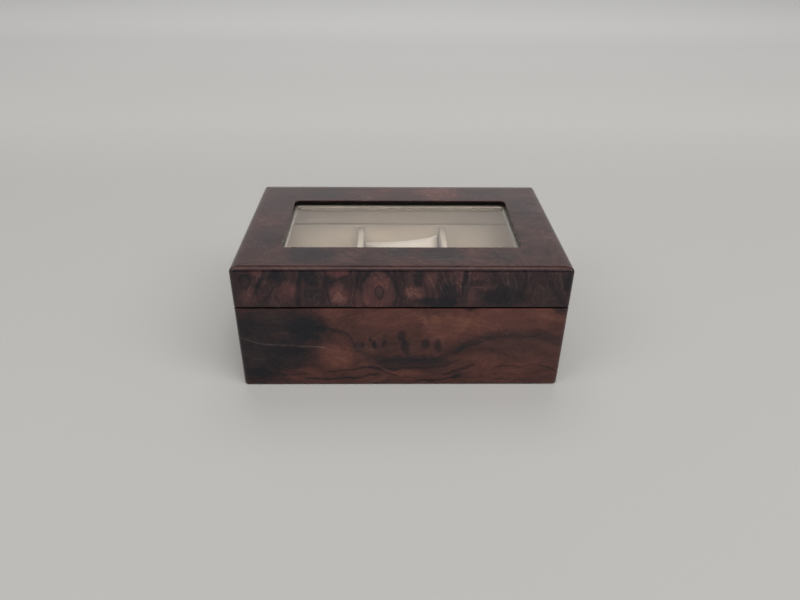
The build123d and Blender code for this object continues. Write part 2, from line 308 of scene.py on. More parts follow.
def make_pile():
    """Velvet pile: brushed clouds where the nap lies another way, and the tufts' fine grain."""
    group, given, out = new_group(
        "Velvet Pile",
        [
            ("Position", "Vector"),
            ("Colour", "Color"),
            ("Brushed", "Float", 0.1),
            ("Tuft", "Float", 0.12),
            ("Seed", "Vector"),
        ],
        [("Colour", "Color"), ("Height", "Float")],
    )
    place = vector_maths(group, "ADD", given["Position"], given["Seed"])
    stretched = vector_maths(group, "MULTIPLY", place, (1.0, 0.5, 1.6))
    clouds = noise_value(group, stretched, 0.07, roughness=0.6, distortion=0.8)
    tufts = noise_value(group, place, 2.2, detail=2.0, roughness=0.7)
    brushed = centred(group, clouds, given["Brushed"])
    tufted = centred(group, tufts, given["Tuft"])
    gain = plus(group, plus(group, brushed, tufted), 1.0)
    group.links.new(scaled(group, given["Colour"], gain), out["Colour"])
    height = plus(group, tufts, times(group, clouds, NAP_DEPTH))
    group.links.new(height, out["Height"])
    return group


def make_eased_edge():
    """The lid's top falls away a little before its rounded edges begin. Height is in millimetres."""
    group, given, out = new_group("Eased Edge", [("Position", "Vector")], [("Height", "Float")])
    parts = split(group, given["Position"])
    from_end = minus(group, HALF_WIDTH, maths(group, "ABSOLUTE", parts["X"]))
    from_side = minus(group, HALF_DEPTH, maths(group, "ABSOLUTE", parts["Y"]))
    inward = maths(group, "MINIMUM", from_end, from_side)
    below = minus(group, HEIGHT, parts["Z"])
    from_corner = minus(group, inward, below)
    drop = smooth_range(group, from_corner, EASED_FROM, EASED_TO, 0.0, -EASED_DROP)
    group.links.new(drop, out["Height"])
    return group


def make_finish():
    """Hand-rubbed lacquer: the roughness wanders, with faint rubbing lines and settled dust."""
    group, given, out = new_group(
        "Lacquer Finish",
        [("Position", "Vector"), ("Roughness", "Float", 0.3), ("Dust", "Float", 0.3)],
        [("Roughness", "Float"), ("Dust", "Float"), ("Height", "Float")],
    )
    smears = noise_value(group, given["Position"], 0.03, detail=4.0, roughness=0.65, distortion=1.0)
    along = vector_maths(group, "MULTIPLY", given["Position"], (0.12, 1.0, 1.0))
    rubbed = centred(group, noise_value(group, along, 0.9, detail=2.0), RUBBING)
    uneven = plus(group, centred(group, smears, SMEARS), rubbed)
    rough = maths(group, "ADD", given["Roughness"], uneven, clamp=True)
    group.links.new(rough, out["Roughness"])
    specks = node(group, "ShaderNodeTexVoronoi", {"Vector": given["Position"], "Scale": 0.4})
    speck = smooth_range(group, specks.outputs["Distance"], *SPECK_EDGE)
    sparse = noise_value(group, given["Position"], 0.05, detail=1.0)
    sparse = smooth_range(group, sparse, *DUSTY_PARTS)
    dust = times(group, times(group, speck, sparse), given["Dust"])
    group.links.new(dust, out["Dust"])
    group.links.new(noise_value(group, given["Position"], 0.5, detail=2.0), out["Height"])
    return group


DRIFT = make_drift()
PATCH = make_patch()
RING = make_ring()
STROKE = make_stroke()
FIGURE = make_figure()
PILE = make_pile()
FINISH = make_finish()
EASED_EDGE = make_eased_edge()


# ---------------- burl veneer

GREY_TONES = [
    (0.00, (0.0020, 0.0022, 0.0036)),
    (0.25, (0.0068, 0.0062, 0.0100)),
    (0.50, (0.0185, 0.0118, 0.0135)),
    (0.75, (0.0410, 0.0285, 0.0290)),
    (1.00, (0.0850, 0.0680, 0.0640)),
]
RED_TONES = [
    (0.00, (0.0060, 0.0028, 0.0030)),
    (0.25, (0.0230, 0.0085, 0.0075)),
    (0.50, (0.0550, 0.0195, 0.0162)),
    (0.75, (0.1000, 0.0350, 0.0270)),
    (1.00, (0.1600, 0.0640, 0.0420)),
]
MAUVE_TONES = [
    (0.00, (0.0050, 0.0032, 0.0042)),
    (0.25, (0.0200, 0.0090, 0.0110)),
    (0.50, (0.0520, 0.0195, 0.0210)),
    (0.75, (0.1030, 0.0375, 0.0345)),
    (1.00, (0.1720, 0.0720, 0.0560)),
]
PORE_COLOUR = (0.006, 0.0045, 0.004, 1)
PORE_DARKNESS = 0.5
DUST_COLOUR = (0.30, 0.28, 0.26, 1)
DUST = 0.3
LACQUER_IOR = 1.38
LACQUER_ROUGHNESS = 0.15
LACQUER_WAVES = 0.02
CLOUD_CONTRAST = 0.5
PAINTED_SHADE_REACH = 2.2  # millimetres down from the panel's upper edge, where painted shade darkens it
STROKE_FADE = 4.0
UPRIGHT = (1.0, 0.45, 1.0)  # which way the grain runs on a panel
LEVEL = (0.45, 1.0, 1.0)


def new_material(name):
    material = bpy.data.materials.new(name)
    material.use_nodes = True
    tree = material.node_tree
    shader = tree.nodes["Principled BSDF"]
    return material, tree, shader


def place_in_mm(tree, axes="XYZ"):
    """The object's own coordinates in millimetres, with its axes in the given order."""
    place = node(tree, "ShaderNodeTexCoord").outputs["Object"]
    place = scaled(tree, place, 1 / MM)
    if axes == "XYZ":
        return place
    parts = split(tree, place)
    return node(tree, "ShaderNodeCombineXYZ", {i: parts[a] for i, a in enumerate(axes)}).outputs[0]


def bump(tree, shader, height, depth):
    made = node(tree, "ShaderNodeBump", {"Height": height, "Distance": depth, "Strength": 1.0})
    tree.links.new(made.outputs["Normal"], shader.inputs["Normal"])


def add_finish(tree, shader, place, colour, roughness):
    """Lays lacquer and its dust over a colour, and returns the lacquer's waves."""
    finish = place_group(tree, FINISH, {"Position": place, "Roughness": roughness, "Dust": DUST})
    colour = mix_colour(tree, finish["Dust"], colour, DUST_COLOUR)
    fill(tree, shader, {"Base Color": colour, "Roughness": finish["Roughness"]})
    return finish["Height"]


def draw(tree, group, field, inputs):
    """Draws one patch, ring or stroke into the burl's tone and redness."""
    drawn = place_group(tree, group, {**field, **inputs})
    return {name: drawn[name] for name, kind in BURL_FIELD}


def draw_oval(tree, group, field, position, oval, names):
    """Draws (x, y, reach x, reach y) and then the values that are named."""
    x, y, reach_x, reach_y, *values = oval
    return draw(tree, group, field, {
        "Position": position,
        "Centre": (x, y, 0),
        "Reach": (reach_x, reach_y, THROUGH),
        **dict(zip(names, values)),
    })


def draw_stroke(tree, field, parts, width, amount, red, points):
    """Draws one line of the burl through points, either along the panel or up it."""
    along, across = parts["X"], parts["Y"]
    if abs(points[-1][0] - points[0][0]) < abs(points[-1][1] - points[0][1]):
        along, across = across, along
        points = [(y, x) for x, y in points]
    points = sorted(points)
    start, end = points[0][0], points[-1][0]
    bottom, top = min(p[1] for p in points) - 1, max(p[1] for p in points) + 1
    share = {"Value": along, "From Min": start, "From Max": end}
    share = node(tree, "ShaderNodeMapRange", share).outputs[0]
    line = node(tree, "ShaderNodeFloatCurve", {"Value": share})
    curve = line.mapping.curves[0]
    while len(curve.points) < len(points):
        curve.points.new(0.5, 0.5)
    for point, (x, y) in zip(curve.points, points):
        point.location = ((x - start) / (end - start), (y - bottom) / (top - bottom))
    line.mapping.update()
    fade = min(STROKE_FADE, (end - start) / 3)
    return draw(tree, STROKE, field, {
        "Along": along, "Across": across, "Curve": line.outputs[0], "Bottom": bottom, "Top": top,
        "Start": start - fade / 2, "End": end + fade / 2, "Fade": fade,
        "Width": width, "Amount": amount, "Red Amount": red,
    })


def burl(name, axes, seed, flow, tone, red, lines, patches=(), rings=(), strokes=(), curls=0.15,
         tints=RED_TONES, red_contrast=0.5, painted_edge_shade=0.0, eased=False):
    """Burl veneer on one panel. axes says which two of the box's axes the panel lies along.

    Patches are (x, y, reach x, reach y, tone, redness), rings have a width before the tone, and
    strokes are (half width, tone, redness, points). painted_edge_shade is painted shade: it darkens
    the panel under its upper edge, standing in for a dark reflection on the rounded edge there.
    eased lowers its edges.
    """
    material, tree, shader = new_material(name)
    place = place_in_mm(tree, axes)
    drifted = place_group(tree, DRIFT, {"Position": place, "Seed": seed})["Position"]
    figure = place_group(tree, FIGURE, {"Position": drifted, "Flow": flow, "Seed": seed})
    tone = plus(tree, times(tree, figure["Cloud"], CLOUD_CONTRAST), tone)
    tone = plus(tree, times(tree, figure["Line"], lines), tone)
    red = plus(tree, times(tree, figure["Redness"], red_contrast), red)
    field = {"Tone": tone, "Red": red}
    for patch in patches:
        field = draw_oval(tree, PATCH, field, drifted, patch, ("Amount", "Red Amount"))
    parts = split(tree, drifted)
    for stroke in strokes:
        field = draw_stroke(tree, field, parts, *stroke)
    steadier = scaled(tree, vector_maths(tree, "ADD", place, drifted), 0.5)
    for ring in rings:
        field = draw_oval(tree, RING, field, steadier, ring, ("Width", "Amount", "Red Amount"))
    tone = plus(tree, field["Tone"], times(tree, figure["Curl"], curls))
    # painted shade: a darker band just under the panel's upper edge
    if painted_edge_shade:
        above = split(tree, place)["Y"]
        edge_shaded = smooth_range(tree, above, HEIGHT - PAINTED_SHADE_REACH, HEIGHT - PAINTED_SHADE_REACH / 2)
        tone = minus(tree, tone, times(tree, edge_shaded, painted_edge_shade))
    grey = colour_ramp(tree, tone, GREY_TONES)
    tinted = colour_ramp(tree, tone, tints)
    redness = maths(tree, "ADD", field["Red"], clamp=True)
    colour = mix_colour(tree, redness, grey, tinted)
    pores = times(tree, figure["Pore"], PORE_DARKNESS)
    colour = mix_colour(tree, pores, colour, PORE_COLOUR)
    waves = add_finish(tree, shader, place, colour, LACQUER_ROUGHNESS)
    shader.inputs["IOR"].default_value = LACQUER_IOR
    height = times(tree, waves, LACQUER_WAVES)
    if eased:
        edge = place_group(tree, EASED_EDGE, {"Position": place})
        height = plus(tree, height, edge["Height"])
    bump(tree, shader, height, MM)
    return material


LID_FRONT = burl(
    "burl_lid_front", "XZY", (0, 0, 0), UPRIGHT, tone=0.48, red=0.38, lines=0.13,
    patches=[
        (-97, 66, 5, 8, 0.02, 0), (-91, 78, 5, 5, -0.18, 0), (-84, 82, 6, 3, 0.1, 0.3),
        (-88, 66, 8, 6, 0.1, 0.25), (-73, 80, 7, 5, -0.2, -0.3), (-67, 69, 8, 8, 0.12, 0.3),
        (-54, 79, 5, 5, -0.2, -0.4), (-53, 68, 7, 7, 0, -0.35), (-45, 70, 2.5, 14, -0.16, -0.1),
        (-37, 67, 7.5, 8, 0.22, 0.4), (-35, 64, 4, 4, 0.1, 0), (-38, 82, 10, 3, 0.14, 0.6),
        (-14, 67, 11, 14, 0.22, 0.45), (-15, 78, 7, 9, 0.06, 0.1), (-26, 64, 5, 8, 0.14, 0.3),
        (-14, 68.8, 2.2, 3.6, -0.06, -0.5), (0, 72, 3, 12, -0.08, -0.1),
        (9, 79, 4, 6, -0.2, -0.3), (7, 68, 7, 5.5, 0.26, 0.35), (17, 78, 4, 6, 0.12, 0.2),
        (20, 62, 12, 4, -0.18, -0.5), (28, 68, 6, 10, -0.16, -0.4), (33, 77, 2.6, 8, 0.14, 0.2),
        (43, 80, 5, 4, 0.18, 0.3), (41, 65, 2.4, 7, 0.14, 0.3), (47, 73, 6, 3, 0.12, 0.1),
        (36.5, 76, 1.6, 8, -0.2, -0.2), (60, 65, 13, 7, -0.18, -0.7),
        (82, 70, 11, 14, 0.04, 0), (97, 76, 3.5, 8, -0.16, -0.3), (70, 72, 34, 16, 0, -0.12),
    ],
    strokes=[
        (1.8, -0.2, -0.2, [(-80, 84), (-82, 77), (-85, 71), (-86, 67)]),
        (0.8, 0.12, -0.1, [(-77, 84), (-79, 77), (-82, 73)]),
        (1.6, -0.16, 0, [(-68, 78), (-73, 74), (-77, 69), (-82, 63)]),
        (2.2, -0.2, -0.2, [(-58, 84), (-60, 76), (-61, 68), (-61, 58)]),
        (0.7, 0.14, -0.1, [(-47, 84), (-46, 77), (-47, 70)]),
        (1.2, -0.2, -0.2, [(-43, 75), (-37, 78), (-31, 81), (-27, 84)]),
        (1.4, -0.2, -0.2, [(-43, 70), (-42, 64), (-40, 59)]),
        (0.8, 0.18, -0.2, [(-27, 84), (-28, 76), (-29, 67)]),
        (1.2, -0.14, -0.1, [(-24, 84), (-26, 75), (-28, 66), (-28, 58)]),
        (1.6, -0.1, -0.2, [(-6, 84), (-4, 77), (-3, 68), (-5, 60)]),
        (0.9, 0.18, 0, [(0, 84), (2, 77), (3, 71), (4, 65)]),
        (0.6, 0.3, -0.2, [(18, 73), (20, 67), (22, 61)]),
        (0.6, 0.28, -0.2, [(23, 83), (25, 78), (27, 72)]),
        (0.55, 0.26, -0.2, [(21, 78), (23, 71), (25, 66)]),
        (0.55, 0.26, -0.2, [(28, 81), (29, 75), (30, 69)]),
        (0.7, 0.22, -0.1, [(15, 82), (17, 77), (19, 72)]),
        (0.9, 0.18, -0.2, [(38.5, 84), (38.5, 77), (37, 70), (37.5, 60)]),
        (0.7, 0.16, 0.1, [(40, 70), (44, 73), (49, 72), (54, 73)]),
        (0.6, 0.22, -0.1, [(45, 79), (48, 81), (52, 80)]),
        (0.8, 0.26, -0.3, [(63, 81), (65, 75), (66.5, 69)]),
        (0.6, 0.22, -0.3, [(58, 83), (60, 78), (61, 73)]),
        (1.3, -0.2, 0, [(70.5, 84), (71, 76), (70, 68)]),
        (0.8, 0.16, -0.1, [(73, 84), (73, 78), (74, 72)]),
        (0.8, 0.2, -0.2, [(90, 84), (91, 77), (94, 70), (99, 63)]),
        (2, -0.14, -0.2, [(86, 78), (90, 69), (96, 60)]),
    ],
    rings=[
        (-14, 68, 10.4, 15.4, 0.16, -0.16, -0.2),
        (-13.8, 68.8, 2.2, 3.9, 0.34, -0.24, -0.1),
        (-14.2, 70.5, 3.7, 6.6, 0.16, -0.09, -0.1),
        (-15.8, 77.6, 1.9, 2.8, 0.36, -0.16, -0.1),
        (-91, 76, 3.2, 4, 0.3, -0.16, 0),
        (-51, 75, 3.4, 3.2, 0.25, 0.16, -0.1),
        (-55, 68, 3.6, 4, 0.22, 0.12, -0.1),
        (-53, 81, 2.4, 2.2, 0.3, 0.12, -0.1),
        (-49, 65, 2.4, 3, 0.3, 0.12, -0.1),
    ],
    curls=0.24,
    tints=MAUVE_TONES,
    # painted shade under the lid front's upper edge
    painted_edge_shade=0.3,
)

BASE_FRONT = burl(
    "burl_base_front", "XZY", (60, 10, 0), LEVEL, tone=0.56, red=0.88, lines=0.12,
    patches=[
        (-80, 34, 36, 34, -0.18, -0.75), (-94, 46, 8, 9, -0.1, -0.1), (-79, 51, 11, 5, 0.14, 0),
        (-73, 40, 7, 3.5, 0.12, 0.1), (-56, 43, 13, 9, -0.22, -0.3), (-72, 26, 16, 5, -0.16, 0),
        (-92, 6, 10, 9, -0.22, -0.2), (-90, 20, 6, 3, 0.16, -0.1), (-62, 9, 16, 6, 0.12, 0.4),
        (-40, 22, 12, 11, 0.2, 0.3), (-42, 53, 9, 6, 0.12, 0.1), (-5, 51, 26, 8, 0.16, 0.1),
        (28, 44, 18, 13, 0.24, 0.15), (62, 50, 34, 11, 0.2, 0.1), (90, 52, 12, 6, 0.06, 0.1),
        (-3, 30, 20, 7, 0, -0.3), (4, 17, 31, 7.5, -0.09, -0.5), (62, 30, 24, 7, 0.02, -0.3),
        (5, 9, 12, 2.5, 0.16, 0.2), (65, 11, 30, 9, 0.08, 0.1), (-18, 5, 10, 2.5, 0.1, 0),
        (41, 57.5, 4, 2, -0.25, -0.3), (96, 56, 6, 3, -0.25, -0.4), (52, 21, 12, 6, 0.12, 0.1),
        (-25, 31, 3.6, 3.2, -0.14, -0.4), (-18.5, 35, 1.5, 2.4, -0.24, -0.3),
        (-16, 31, 1.6, 3.4, -0.26, -0.3), (-10.5, 32, 1.4, 2.8, -0.22, -0.3),
        (0.5, 37.5, 3.4, 4.2, -0.25, -0.35), (3, 29, 2.7, 4.8, -0.22, -0.3), (1.8, 33, 1.6, 3, -0.1, -0.3),
        (14.5, 32, 3, 4.6, -0.26, -0.3), (22, 31, 2.7, 5.6, -0.24, -0.35), (36, 8, 5, 2.5, -0.1, -0.3),
    ],
    strokes=[
        (2.4, -0.11, -0.4, [(-52, 43), (-42, 42), (-35, 40.5), (-31, 36), (-29, 30)]),
        (5.5, -0.03, -0.35, [
            (-31, 31), (-25, 26), (-15, 21), (-5, 19.5), (6, 19), (18, 19.5), (28, 23), (38, 29),
        ]),
        (1.2, -0.08, 0, [(-27, 27), (-15, 22.5), (-5, 20.5), (6, 20), (18, 20.5), (28, 24), (38, 29)]),
        (1.4, -0.16, -0.1, [(-10, 13), (0, 12.5), (8, 13), (18, 14), (28, 16), (36, 20)]),
        (5, -0.05, -0.4, [(34, 27), (46, 35), (58, 38), (72, 38), (86, 37), (99, 32)]),
        (1.4, -0.07, -0.1, [(38, 29), (50, 34), (60, 37), (72, 37), (84, 35), (98, 29)]),
        (1.2, -0.24, -0.2, [(-47, 10), (-38, 11.5), (-30, 12), (-24, 13.5), (-16, 13), (-9, 8.5), (-2, 7)]),
        (1, 0.14, 0, [(-26, 16), (-16, 15), (-9, 11), (-4, 9)]),
        (1.4, -0.24, -0.4, [(-60, 5), (-46, 5), (-36, 5.5), (-28, 5), (-21, 7), (-14, 8.5)]),
        (1.6, -0.28, -0.3, [(9, 3), (20, 4.2), (30, 6), (38, 7)]),
        (1.5, -0.24, -0.3, [(26, 9), (35, 11), (41, 13.5), (46, 16)]),
        (1.2, -0.16, -0.2, [(-85, 12), (-70, 8), (-62, 8.5), (-54, 8)]),
        (1.3, -0.2, -0.2, [(60, 14.5), (68, 15), (76, 14)]),
        (1.2, -0.16, -0.2, [(58, 4), (68, 4.5), (80, 4)]),
        (1, -0.12, -0.2, [(56, 8.5), (66, 9), (76, 8)]),
        (1.2, -0.18, -0.2, [(88, 15), (94, 13), (100, 9)]),
        (0.8, 0.12, -0.2, [(-98, 51), (-86, 53), (-76, 49), (-64, 50)]),
        (0.8, 0.12, -0.2, [(-95, 43), (-84, 40), (-74, 41), (-62, 38)]),
        (0.8, 0.12, -0.2, [(-96, 24), (-88, 20), (-80, 22), (-70, 19)]),
        (0.9, 0.4, -0.2, [(-100, 36.5), (-92, 34), (-85, 32), (-76, 31.8), (-64, 31), (-55, 30), (-46, 29)]),
        (0.9, 0.12, 0.1, [(-47, 53), (-42, 51), (-38, 48)]),
    ],
    rings=[
        (-24, 30.5, 2.6, 2.6, 0.5, 0.14, -0.3),
        (22, 31, 1.3, 3.2, 0.35, 0.12, -0.2),
        (22, 31, 3.6, 6.8, 0.22, 0.08, -0.3),
        (-18, 32, 3.6, 4.6, 0.2, 0.1, -0.2),
    ],
    curls=0.06,
)

LID_TOP = burl(
    "burl_lid_top", "XYZ", (10, 80, 0), (0.6, 1, 1), tone=0.64, red=0.34, lines=0.14,
    patches=[
        (-54, -46, 16, 12, -0.06, -0.45), (-82, -52, 14, 9, 0.02, 0), (-32, -50, 9, 8, 0.06, 0.1),
        (-2, -44, 9, 7, 0.00, -0.3), (24, -46, 15, 10, -0.02, -0.4), (5, -57, 18, 5, 0.03, 0.1),
        (43, -44, 10, 6, 0.06, 0.1), (61, -49, 10, 7, 0, -0.2), (75, -43, 3, 5, -0.1, -0.1),
        (88, -43, 3, 5, -0.1, -0.1), (86, -54, 11, 7, 0.02, 0), (-84, -24, 10, 15, 0, -0.25),
        (-88, 0, 8, 7, 0.03, 0.1), (-86, 30, 12, 22, 0.04, -0.2), (88, -8, 8, 10, 0.02, 0),
        (86, 28, 12, 22, 0.02, -0.2), (76, -18, 3, 6, -0.1, -0.1), (29, 50, 17, 14, 0.14, 0.4),
        (-52, 50, 15, 11, 0.03, -0.3), (62, 50, 20, 12, 0.05, -0.2), (84, 48, 12, 14, 0.04, 0),
        (-14, 50, 12, 12, 0.02, 0.2), (-85, 52, 12, 10, 0.02, -0.1),
    ],
    strokes=[
        (1.6, -0.14, -0.1, [(72, 8), (84, 7), (97, 6)]),
        (1.3, -0.14, -0.1, [(74, 15), (86, 14.5), (98, 13)]),
        (1.4, 0.1, -0.1, [(2, 36), (5, 42), (9, 49)]),
        (1.6, 0.1, 0.1, [(-25, 37), (-18, 45), (-8, 58)]),
        (1.6, 0.08, -0.2, [(-60, 37), (-52, 42), (-44, 50), (-36, 60)]),
        (2.4, -0.1, -0.2, [(-70, 38), (-60, 45), (-50, 58)]),
        (1.8, -0.1, -0.1, [(-38, 38), (-28, 46), (-16, 60)]),
        (2, -0.1, -0.2, [(46, 37), (56, 46), (68, 58)]),
        (1.4, 0.1, -0.2, [(52, 37), (62, 45), (76, 57)]),
        (1.2, 0.14, -0.1, [(-12, -43), (-6, -45), (0, -40)]),
        (1.2, 0.1, -0.2, [(-36, -50), (-30, -46), (-24, -50)]),
        (1.4, -0.14, -0.1, [(-36, -42), (-32, -49), (-26, -54)]),
        (1.2, -0.12, -0.1, [(55, -40), (58, -48), (64, -54)]),
        (1, 0.1, -0.2, [(78, 20), (88, 22), (97, 20)]),
    ],
    curls=0.1,
    red_contrast=0.4,
    eased=True,
)


def plain_lid_side(name, axes, seed, **drawn):
    """A side of the lid on which only a few figures stand out."""
    own = {"tone": 0.47, "red": 0.4, "lines": 0.12, "tints": MAUVE_TONES}
    return burl(name, axes, seed, UPRIGHT, **own, **drawn)


def plain_base_side(name, axes, seed, red, **drawn):
    """A side of the base on which only a few figures stand out."""
    own = {"tone": 0.52, "red": red, "lines": 0.09, "curls": 0.06}
    return burl(name, axes, seed, LEVEL, **own, **drawn)


SIDES = {
    "lid_left_veneer": plain_lid_side(
        "burl_lid_left", "YZX", (200, 40, 0),
        patches=[
            (-34, 70, 7, 12, 0.2, 0.3), (-8, 66, 9, 7, -0.2, -0.4), (22, 72, 8, 12, 0.2, 0.3),
            (46, 66, 9, 8, -0.16, -0.3),
        ],
        strokes=[
            (1.4, -0.2, -0.2, [(-20, 84), (-22, 72), (-20, 58)]),
            (1.2, 0.16, 0, [(6, 84), (4, 74), (8, 62)]),
            (1.2, -0.2, -0.2, [(34, 84), (36, 70), (32, 58)]),
        ],
        rings=[(22, 71, 8.5, 13, 0.14, -0.2, -0.1), (22, 70, 2.6, 4.4, 0.35, -0.3, -0.1)],
    ),
    "lid_right_veneer": plain_lid_side(
        "burl_lid_right", "YZX", (300, 90, 0),
        patches=[
            (38, 70, 8, 12, 0.2, 0.3), (8, 64, 12, 7, -0.2, -0.5), (-28, 74, 8, 9, 0.18, 0.3),
            (-50, 66, 8, 9, -0.14, -0.2),
        ],
        strokes=[
            (1.4, -0.2, -0.2, [(26, 84), (24, 72), (26, 58)]),
            (1.1, 0.16, 0, [(-10, 84), (-12, 74), (-8, 62)]),
            (1.2, -0.2, -0.2, [(-40, 84), (-38, 70), (-42, 58)]),
        ],
        rings=[(38, 70, 2.8, 4.6, 0.35, -0.3, -0.1), (-28, 74, 2.2, 3.4, 0.4, -0.28, -0.1)],
    ),
    "lid_back_veneer": plain_lid_side(
        "burl_lid_back", "XZY", (400, 20, 0),
        patches=[
            (-74, 70, 8, 12, 0.2, 0.3), (-46, 66, 12, 8, -0.2, -0.5), (-18, 72, 8, 11, 0.2, 0.3),
            (14, 64, 12, 7, -0.2, -0.5), (44, 72, 8, 12, 0.2, 0.3), (78, 68, 10, 9, -0.1, -0.2),
        ],
        strokes=[
            (1.4, -0.2, -0.2, [(-62, 84), (-60, 72), (-62, 58)]),
            (1.1, 0.16, 0, [(-34, 84), (-32, 74), (-34, 62)]),
            (1.4, -0.2, -0.2, [(-4, 84), (-6, 72), (-2, 58)]),
            (1.1, 0.16, 0, [(28, 84), (30, 74), (27, 62)]),
            (1.4, -0.2, -0.2, [(60, 84), (58, 72), (62, 58)]),
        ],
        rings=[(-18, 72, 2.8, 4.6, 0.35, -0.3, -0.1), (44, 71, 2.4, 4, 0.38, -0.28, -0.1)],
    ),
    "base_left_veneer": plain_base_side(
        "burl_base_left", "YZX", (250, 140, 0), 0.75,
        patches=[
            (45, 30, 22, 26, -0.14, -0.5), (-30, 46, 30, 8, 0.14, 0.1), (-12, 22, 12, 10, 0.2, 0.2),
            (-40, 30, 2.4, 4.6, -0.38, -0.5), (-33, 26, 1.6, 3, -0.34, -0.5),
        ],
        strokes=[
            (3.4, -0.2, -0.5, [(-65, 20), (-45, 18), (-25, 14), (-5, 16), (15, 26), (40, 30)]),
            (1.4, -0.22, -0.2, [(-60, 8), (-30, 6), (0, 9), (30, 7)]),
        ],
    ),
    "base_right_veneer": plain_base_side(
        "burl_base_right", "YZX", (350, 190, 0), 0.8,
        patches=[
            (-48, 26, 18, 22, -0.12, -0.4), (20, 48, 34, 7, 0.14, 0.1), (10, 20, 14, 9, 0.18, 0.2),
            (38, 32, 2.4, 4.8, -0.38, -0.5), (30, 35, 1.8, 3.2, -0.34, -0.5),
        ],
        strokes=[
            (3.4, -0.18, -0.5, [(-60, 36), (-40, 38), (-15, 34), (10, 30), (35, 22), (62, 24)]),
            (1.4, -0.22, -0.2, [(-50, 9), (-20, 12), (10, 8), (50, 10)]),
        ],
    ),
    "base_back_veneer": plain_base_side(
        "burl_base_back", "XZY", (450, 240, 0), 0.8,
        patches=[
            (-70, 30, 30, 26, -0.12, -0.5), (20, 46, 50, 8, 0.14, 0.1), (-10, 22, 14, 10, 0.2, 0.2),
            (60, 24, 24, 8, -0.04, -0.3), (30, 30, 2.5, 4.8, -0.38, -0.5), (38, 33, 2, 3.6, -0.36, -0.5),
            (46, 30, 2.2, 4.4, -0.36, -0.5),
        ],
        strokes=[
            (3.4, -0.2, -0.5, [(-60, 38), (-35, 36), (-10, 20), (20, 16), (50, 20), (80, 30)]),
            (1.4, -0.22, -0.2, [(-80, 9), (-40, 12), (0, 7), (40, 10), (80, 6)]),
            (1, 0.3, 0, [(-100, 28), (-80, 26), (-60, 27), (-45, 24)]),
        ],
    ),
}


# ---------------- other finishes

PAINT_TONES = ((0.0015, 0.0012, 0.001, 1), (0.005, 0.004, 0.0035, 1))
PAINT_SHINE = 0.25
SIDE_SHADE_FROM, SIDE_SHADE_TO = 70.5, 72.0  # where painted shade darkens the ceiling's velvet beside the window
PILE_SEED_STEP = 17
PILE_DEPTH = 0.06 * MM
LONG_PILE_DEPTH = 0.12 * MM
SCRATCH_DEPTH = 0.01 * MM
BRASS_COLOUR = (0.70, 0.49, 0.20, 1)
TARNISH_COLOUR = (0.42, 0.27, 0.11, 1)
TARNISHED_PARTS = (0.45, 0.75)
TARNISH_ROUGHNESS = 0.2


def painted_board(name, roughness):
    """Fibreboard painted brown-black."""
    material, tree, shader = new_material(name)
    place = place_in_mm(tree)
    mottle = noise_value(tree, place, 0.25)
    add_finish(tree, shader, place, mix_colour(tree, mottle, *PAINT_TONES), roughness)
    shader.inputs["Specular IOR Level"].default_value = PAINT_SHINE
    bump(tree, shader, noise_value(tree, place, 1.5, detail=2.0), SCRATCH_DEPTH)
    return material


def velvet(name, colour, sheen=0.2, brushed=0.16, tuft=0.14, depth=PILE_DEPTH, painted_shade=0.0):
    """Velvet or felt. painted_shade darkens it beside the window: painted shade on the ceiling ledges at the
    window's left and right sides.
    """
    material, tree, shader = new_material(name)
    place = place_in_mm(tree)
    pile = place_group(tree, PILE, {
        "Position": place,
        "Colour": (*colour, 1),
        "Brushed": brushed,
        "Tuft": tuft,
        "Seed": (len(name) * PILE_SEED_STEP, 0, 0),
    })
    colour = pile["Colour"]
    # painted shade on the ledges at the window's left and right sides
    if painted_shade:
        across = maths(tree, "ABSOLUTE", split(tree, place)["X"])
        unshaded_share = smooth_range(tree, across, SIDE_SHADE_FROM, SIDE_SHADE_TO, 1.0, 1.0 - painted_shade)
        colour = scaled(tree, colour, unshaded_share)
    fill(tree, shader, {
        "Base Color": colour,
        "Roughness": 0.95,
        "Specular IOR Level": 0.15,
        "Sheen Weight": sheen,
        "Sheen Roughness": 0.45,
    })
    bump(tree, shader, pile["Height"], depth)
    return material


def clear_glass():
    """Float glass with a faint green in it, which lets the lamps' light through."""
    material, tree, shader = new_material("window_glass")
    fill(tree, shader, {
        "Base Color": (0.985, 0.992, 0.985, 1),
        "Roughness": 0.0,
        "IOR": 1.45,
        "Transmission Weight": 1.0,
    })
    clear = node(tree, "ShaderNodeBsdfTransparent", {"Color": (0.96, 0.965, 0.96, 1)})
    is_shadow = node(tree, "ShaderNodeLightPath").outputs["Is Shadow Ray"]
    both = node(tree, "ShaderNodeMixShader", {0: is_shadow, 1: shader.outputs[0], 2: clear.outputs[0]})
    tree.links.new(both.outputs[0], tree.nodes["Material Output"].inputs["Surface"])
    return material


def brass(name, roughness, brushed):
    """Brass with fine scratches along its length and a little tarnish."""
    material, tree, shader = new_material(name)
    place = place_in_mm(tree)
    stretched = vector_maths(tree, "MULTIPLY", place, (0.15, 3.0, 3.0))
    scratches = noise_value(tree, stretched, 1.6)
    tarnish = noise_value(tree, place, 0.35, detail=4.0, roughness=0.6)
    tarnish = smooth_range(tree, tarnish, *TARNISHED_PARTS)
    rough = plus(tree, times(tree, tarnish, TARNISH_ROUGHNESS), roughness)
    rough = plus(tree, times(tree, scratches, brushed), rough)
    colour = mix_colour(tree, tarnish, BRASS_COLOUR, TARNISH_COLOUR)
    fill(tree, shader, {"Base Color": colour, "Roughness": rough, "Metallic": 1.0})
    bump(tree, shader, scratches, SCRATCH_DEPTH)
    return material


